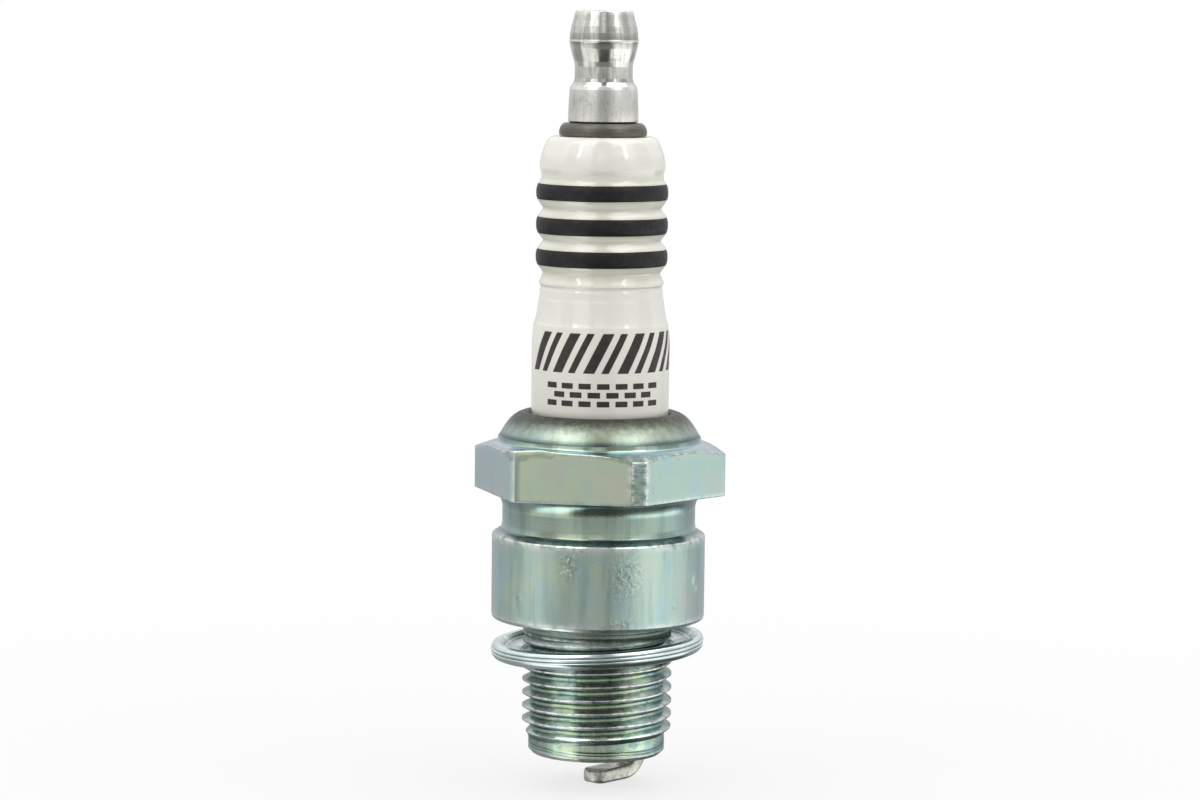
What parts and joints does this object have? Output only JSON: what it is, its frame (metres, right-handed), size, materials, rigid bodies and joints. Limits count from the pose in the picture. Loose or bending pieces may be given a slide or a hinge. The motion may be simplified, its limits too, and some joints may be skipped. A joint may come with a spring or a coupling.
{
  "type": "spark plug",
  "caption": "Ignition plug for a small motorcycle engine: ribbed glazed insulator, hexagonal zinc-plated shell, loose ring gasket, threaded end and removable terminal nut.",
  "frame": {"origin": "on the plug's axis, level with the underside of the ground electrode, which is the lowest point", "axes": "+Z along the axis from the ground electrode to the terminal; +X through a corner of the hexagon"},
  "size_m": [0.0238, 0.0208, 0.0722],
  "materials": {
    "shell_zinc": "zinc plate with a pale blue-green passivation, semi-gloss",
    "insulator_glaze": "glossy ivory glaze with charcoal bands",
    "stud_dark": "dark oxide, satin",
    "seal_glass": "opaque conducting glass",
    "resistor_body": "matt",
    "nickel": "nickel alloy, satin",
    "copper": "bare copper",
    "iridium": "fine-wire tip, bright",
    "packing_steel": "plain steel wire",
    "talc": "pressed powder, matt",
    "terminal_bright": "bright nickel plate",
    "gasket_zinc": "bright zinc plate"
  },
  "bodies": {
    "plug": {"metal_shell": "shell_zinc", "insulator": "insulator_glaze", "terminal_stud": "stud_dark", "upper_glass_seal": "seal_glass", "resistor": "resistor_body", "lower_glass_seal": "seal_glass", "center_electrode": "nickel", "copper_core": "copper", "iridium_tip": "iridium", "upper_packing_ring": "packing_steel", "talc_powder": "talc", "lower_packing_ring": "packing_steel", "seat_packing_washer": "packing_steel", "ground_electrode": "nickel"},
    "terminal_nut": {"terminal_nut": "terminal_bright"},
    "gasket": {"gasket": "gasket_zinc"}
  },
  "joints": [
    {"name": "terminal_nut_lift", "type": "slide", "parent": "plug", "child": "terminal_nut", "axis": [0, 0, 1], "range_m": [0, 0.01]},
    {"name": "gasket_slide", "type": "slide", "parent": "plug", "child": "gasket", "axis": [0, 0, 1], "range_m": [0, 0.00233]}
  ]
}
